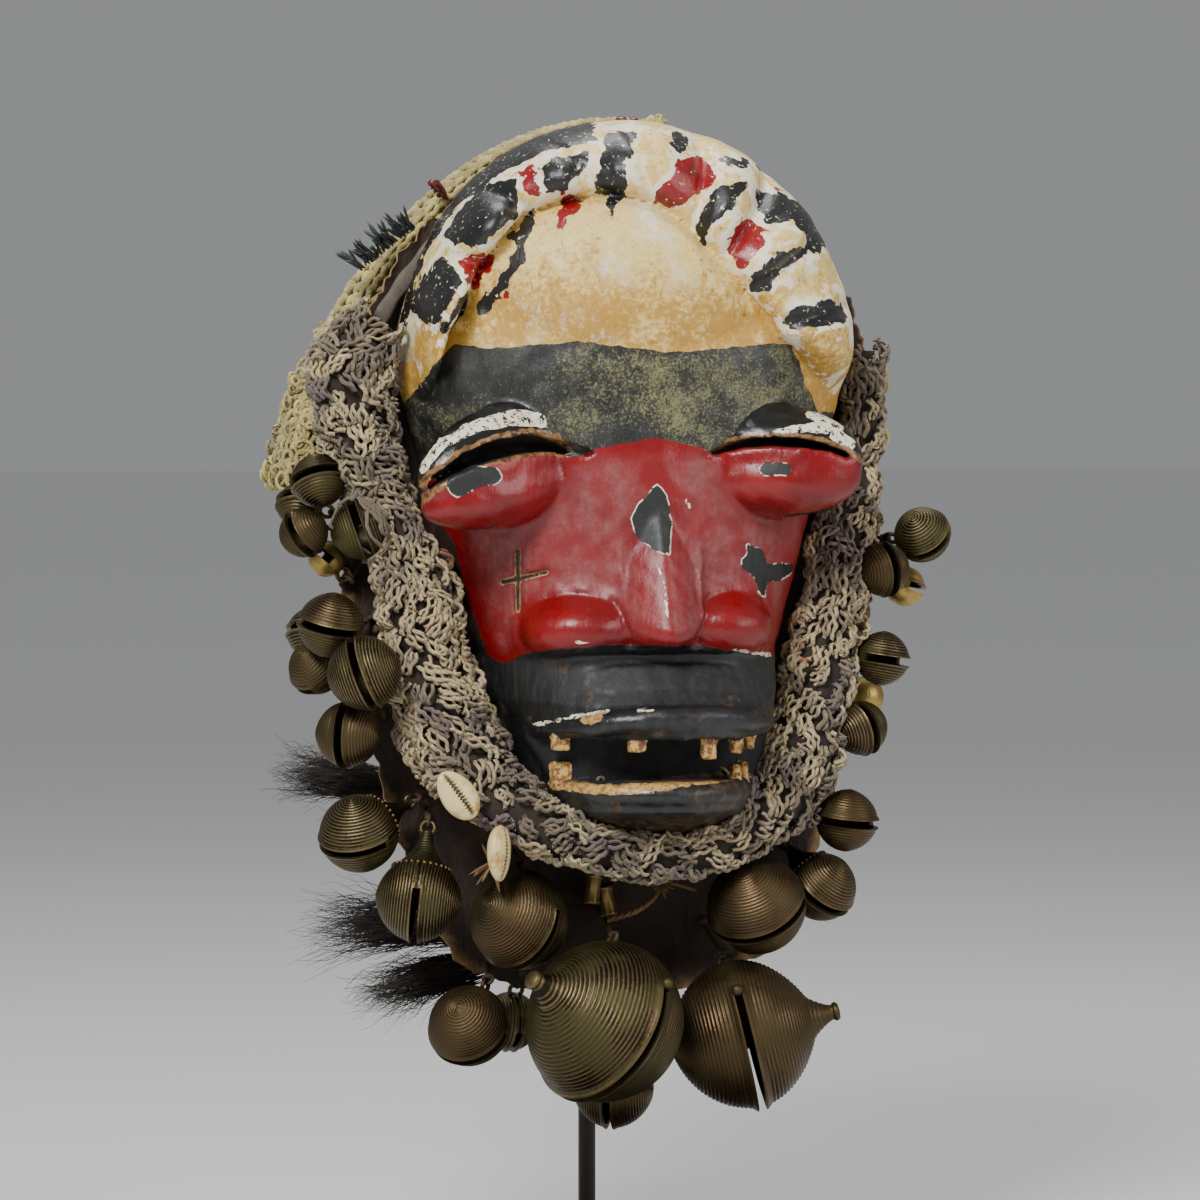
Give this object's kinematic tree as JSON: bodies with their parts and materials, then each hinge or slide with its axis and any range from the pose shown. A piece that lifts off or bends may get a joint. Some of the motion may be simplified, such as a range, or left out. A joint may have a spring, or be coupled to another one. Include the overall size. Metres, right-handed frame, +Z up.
{
  "type": "african mask on a stand",
  "caption": "Carved and painted wooden face mask edged with looped yarn and hung with ribbed bronze bells, on a rod and square base.",
  "frame": {"origin": "centre of the base's underside", "axes": "+Z up along the stand's rod, the mask looks along -Y, and its left edge as seen from the front is at -X"},
  "size_m": [0.2643, 0.1894, 0.4506],
  "materials": {
    "painted_wood": "painted red, black and cream, worn, glossy to matt",
    "dark_bronze": "dark bronze with a greenish patina, satin",
    "hide": "dark raw hide with a tan edge, matt",
    "grey_yarn": "faded grey and mauve looped yarn",
    "cream_cotton": "cream crocheted cotton",
    "cowrie_shell": "polished shell",
    "black_fur": "coarse black hair",
    "black_steel": "black brown paint, satin"
  },
  "bodies": {
    "root": {"mask": "painted_wood", "hide_collar": "hide", "yarn_trim": "grey_yarn", "hood_edge": "cream_cotton", "left_upper_bell_1": "dark_bronze", "left_upper_bell_2": "dark_bronze", "left_upper_bell_3": "dark_bronze", "left_upper_bell_4": "dark_bronze", "left_upper_bell_5": "dark_bronze", "left_middle_bell_1": "dark_bronze", "left_middle_bell_2": "dark_bronze", "left_middle_bell_3": "dark_bronze", "left_middle_bell_4": "dark_bronze", "left_middle_bell_5": "dark_bronze", "beard_bell_1": "dark_bronze", "beard_bell_2": "dark_bronze", "beard_bell_3": "dark_bronze", "beard_bell_4": "dark_bronze", "beard_bell_5": "dark_bronze", "beard_bell_6": "dark_bronze", "beard_bell_7": "dark_bronze", "beard_bell_8": "dark_bronze", "beard_bell_9": "dark_bronze", "beard_bell_10": "dark_bronze", "beard_bell_11": "dark_bronze", "right_upper_bell_1": "dark_bronze", "right_upper_bell_2": "dark_bronze", "right_upper_bell_3": "dark_bronze", "right_lower_bell_1": "dark_bronze", "right_lower_bell_2": "dark_bronze", "right_lower_bell_3": "dark_bronze", "upper_cowrie": "cowrie_shell", "lower_cowrie": "cowrie_shell", "left_upper_fur_tuft": "black_fur", "left_lower_fur_tuft": "black_fur", "left_bottom_fur_tuft": "black_fur", "right_fur_tuft": "black_fur", "stand_rod": "black_steel", "stand_base": "black_steel"}
  },
  "joints": []
}
